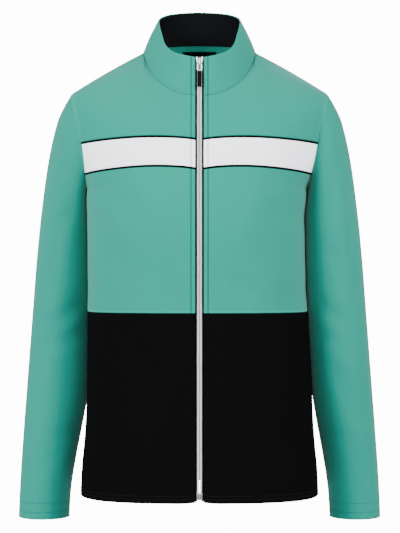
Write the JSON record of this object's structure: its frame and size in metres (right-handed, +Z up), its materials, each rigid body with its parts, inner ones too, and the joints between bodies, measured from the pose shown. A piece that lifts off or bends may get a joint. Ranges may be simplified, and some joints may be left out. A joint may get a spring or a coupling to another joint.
{
  "type": "sweat jacket, zip-front",
  "caption": "Zip-front sweat jacket with stand collar, piped chest band and black lower body, standing open and hollow as worn.",
  "frame": {"origin": "middle of the neck base, level with the tops of the shoulder seams, where the wearer's neck and shoulders hold it", "axes": "+Z up, X = 0 is the zip, the front faces -Y, the wearer's left is +X"},
  "size_m": [0.5384, 0.259, 0.7551],
  "materials": {
    "teal_knit": "matt smooth double knit",
    "black_knit": "matt smooth double knit",
    "white_knit": "matt smooth double knit",
    "black_piping": "satin cord",
    "black_label": "satin woven, blank",
    "black_tape": "woven tape",
    "silver_metal": "polished",
    "black_rubber": "satin"
  },
  "bodies": {
    "jacket": {"back_lower": "black_knit", "back_upper": "teal_knit", "chest_band_left": "white_knit", "chest_band_right": "white_knit", "collar": "teal_knit", "collar_facing": "black_knit", "front_lower_left": "black_knit", "front_lower_right": "black_knit", "front_middle_left": "teal_knit", "front_middle_right": "teal_knit", "front_yoke_left": "teal_knit", "front_yoke_right": "teal_knit", "neck_label": "black_label", "piping_high_left": "black_piping", "piping_high_right": "black_piping", "piping_low_left": "black_piping", "piping_low_right": "black_piping", "sleeve_left": "teal_knit", "sleeve_right": "teal_knit", "zip_bottom_stop": "silver_metal", "zip_chain": "silver_metal", "zip_slider": "silver_metal", "zip_tape_left": "black_tape", "zip_tape_right": "black_tape"},
    "pull": {"zip_pull_link": "silver_metal", "zip_pull_tab": "black_rubber"}
  },
  "joints": [
    {"name": "pull_hinge", "type": "hinge", "parent": "jacket", "child": "pull", "pos_m": [0, -0.08049, -0.02657], "axis": [-1, 0, 0], "range_deg": [0, 165]}
  ]
}
